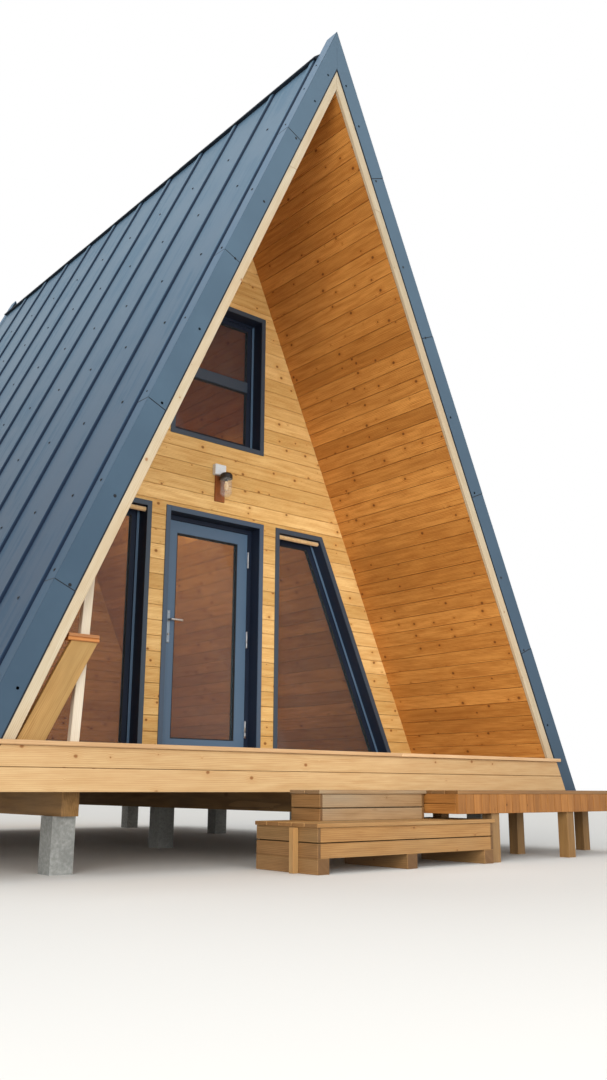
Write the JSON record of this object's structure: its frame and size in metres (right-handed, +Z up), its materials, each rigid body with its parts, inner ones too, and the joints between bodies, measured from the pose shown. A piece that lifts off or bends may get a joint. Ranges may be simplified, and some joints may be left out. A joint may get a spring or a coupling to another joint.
{
  "type": "a-frame cabin",
  "caption": "Timber A-frame cabin with a steep ribbed metal roof down to the floor, open gable porch, glazed door, slanted windows, steps and a short side deck.",
  "frame": {"origin": "centre of the whole box at ground level, where the piers and feet stand", "axes": "+Z up, -Y the porch front, +X to the right as seen facing the front, +Y along the ridge to the back"},
  "size_m": [5.9442, 7.531, 7.1431],
  "materials": {
    "roof_metal": "satin coated sheet, anthracite blue grey",
    "ridge_metal": "matt dark coated",
    "frame_metal": "matt anthracite coated",
    "door_paint": "satin slate blue grey",
    "pale_timber": "planed pale softwood",
    "larch": "oiled tongued and grooved boards",
    "deck_timber": "grooved treated boards",
    "step_timber": "weathered treated boards",
    "skirt_timber": "brown treated boards",
    "frame_timber": "sawn structural timber",
    "concrete": "cast concrete",
    "glass": "clear insulated glass",
    "steel": "satin stainless steel",
    "chrome_hinge": "polished",
    "blind_cloth": "rolled woven blind",
    "copper_plate": "stained timber back plate",
    "white_plastic": "off white",
    "dark_plastic": "black"
  },
  "bodies": {
    "cabin": {"roof_panel_left": "larch", "roof_panel_right": "larch", "roof_sheet_left": "roof_metal", "roof_sheet_right": "roof_metal", "ridge_cap": "ridge_metal", "rake_trim_front": "roof_metal", "rake_trim_back": "roof_metal", "barge_front": "pale_timber", "barge_back": "pale_timber", "floor_joists": "frame_timber", "deck_boards": "deck_timber", "inside_floor": "larch", "deck_fascia": "larch", "deck_nosing": "pale_timber", "bearers": "frame_timber", "piers": "concrete", "front_wall_left": "larch", "front_wall_right": "larch", "front_wall_top": "larch", "back_wall": "larch", "door_frame": "frame_metal", "hinge_plates": "chrome_hinge", "upper_window_frame": "frame_metal", "upper_window_glass": "glass", "left_window_frame": "frame_metal", "left_window_glass": "glass", "right_window_frame": "frame_metal", "right_window_glass": "glass", "blind_rolls": "blind_cloth", "upper_step": "step_timber", "lower_step": "step_timber", "step_feet": "frame_timber", "side_deck_boards": "deck_timber", "side_deck_skirt": "skirt_timber", "side_deck_posts": "frame_timber", "store_post": "pale_timber", "store_board": "pale_timber", "store_cap": "skirt_timber", "lamp_plate": "copper_plate", "lamp_box": "white_plastic", "lamp_cap": "dark_plastic", "lamp_jar": "glass"},
    "door": {"door_leaf": "door_paint", "door_glass": "glass", "door_hinges": "chrome_hinge", "handle_plate": "steel"},
    "lever": {"door_lever": "steel"}
  },
  "joints": [
    {"name": "door_hinge", "type": "hinge", "parent": "cabin", "child": "door", "pos_m": [0.4575, -1.3005, 1.85], "axis": [0, 0, 1], "range_deg": [0, 90]},
    {"name": "lever_turn", "type": "hinge", "parent": "door", "child": "lever", "pos_m": [-0.405, -1.2905, 1.97], "axis": [0, 1, 0], "range_deg": [0, 40], "stiffness_Nm_per_rad": 1.5, "springref_deg": -20.05}
  ]
}
